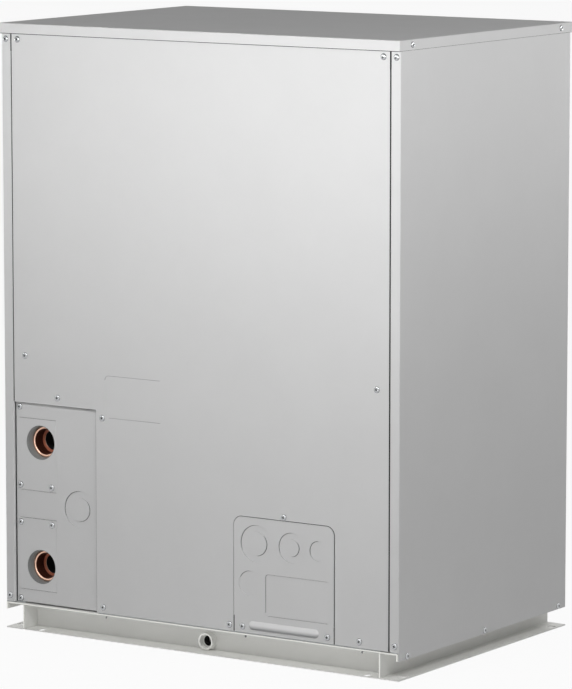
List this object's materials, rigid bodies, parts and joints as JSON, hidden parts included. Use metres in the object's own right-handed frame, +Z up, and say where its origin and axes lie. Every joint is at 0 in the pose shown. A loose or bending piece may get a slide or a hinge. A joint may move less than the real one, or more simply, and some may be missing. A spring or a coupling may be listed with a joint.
{
  "type": "multi-split outdoor unit",
  "caption": "Closed upright water-source outdoor unit of a multi-split system: sheet-steel cabinet on a slotted base with water sockets, a drain socket and knock-outs at the front.",
  "frame": {"origin": "centre of the footprint on the floor", "axes": "+X to the right seen from the front, +Y to the rear, +Z up"},
  "size_m": [0.8468, 0.585, 1.1],
  "materials": {
    "casing_paint": "fine satin baked coat, light neutral grey",
    "base_paint": "satin baked coat, warm grey",
    "frame_steel": "galvanised sheet",
    "screw_steel": "bright zinc-plated",
    "stainless_steel": "satin",
    "socket_bronze": "machined bronze",
    "collar_foam": "soft closed-cell foam",
    "vessel_black": "gloss black enamel",
    "mount_rubber": "matte",
    "copper_pipe": "drawn copper tube",
    "valve_brass": "forged brass",
    "board_green": "solder-masked circuit board",
    "heat_sink_aluminium": "extruded"
  },
  "bodies": {
    "cabinet": {"access_panel": "casing_paint", "accumulator": "vessel_black", "base_front_apron": "base_paint", "base_pan": "base_paint", "base_rail_left": "base_paint", "base_rail_right": "base_paint", "base_rear_apron": "base_paint", "compressor": "vessel_black", "compressor_mounts": "mount_rubber", "control_box": "frame_steel", "control_box_cover": "frame_steel", "discharge_pipe": "copper_pipe", "drain_socket": "base_paint", "exchanger_gas_pipe": "copper_pipe", "exchanger_liquid_pipe": "copper_pipe", "exchanger_stand": "frame_steel", "expansion_valve_body": "valve_brass", "four_way_valve_body": "valve_brass", "front_panel": "casing_paint", "front_sill": "frame_steel", "gas_line": "copper_pipe", "gas_valve_body": "valve_brass", "liquid_line": "copper_pipe", "liquid_valve_body": "valve_brass", "main_board": "board_green", "pipe_collars": "collar_foam", "pipe_plate_lower": "casing_paint", "pipe_plate_upper": "casing_paint", "plate_heat_exchanger": "stainless_steel", "post_front_left": "frame_steel", "post_front_right": "frame_steel", "post_rear_left": "frame_steel", "post_rear_right": "frame_steel", "power_module": "heat_sink_aluminium", "rear_panel": "casing_paint", "return_pipe": "copper_pipe", "screws_front": "screw_steel", "screws_rear": "screw_steel", "screws_sides": "screw_steel", "screws_sill": "screw_steel", "side_panel_left": "casing_paint", "side_panel_right": "casing_paint", "suction_pipe": "copper_pipe", "top_beam_front": "frame_steel", "top_beam_rear": "frame_steel", "top_panel": "casing_paint", "water_inlet_pipe": "stainless_steel", "water_inlet_socket": "socket_bronze", "water_outlet_pipe": "stainless_steel", "water_outlet_socket": "socket_bronze", "water_pipe_panel": "casing_paint"},
    "gas_valve_plug": {"gas_valve_plug": "valve_brass"},
    "liquid_valve_plug": {"liquid_valve_plug": "valve_brass"},
    "four_way_valve_slide": {"four_way_valve_slide": "valve_brass"},
    "expansion_valve_needle": {"expansion_valve_needle": "valve_brass"}
  },
  "joints": [
    {"name": "gas_valve_turn", "type": "hinge", "parent": "cabinet", "child": "gas_valve_plug", "pos_m": [0.235, -0.18, 0.13], "axis": [0, -1, 0], "range_deg": [0, 90]},
    {"name": "liquid_valve_turn", "type": "hinge", "parent": "cabinet", "child": "liquid_valve_plug", "pos_m": [0.13, -0.18, 0.13], "axis": [0, -1, 0], "range_deg": [0, 90]},
    {"name": "four_way_slide", "type": "slide", "parent": "cabinet", "child": "four_way_valve_slide", "axis": [1, 0, 0], "range_m": [0, 0.024]},
    {"name": "expansion_needle_lift", "type": "slide", "parent": "cabinet", "child": "expansion_valve_needle", "axis": [0, 0, 1], "range_m": [0, 0.003]}
  ]
}
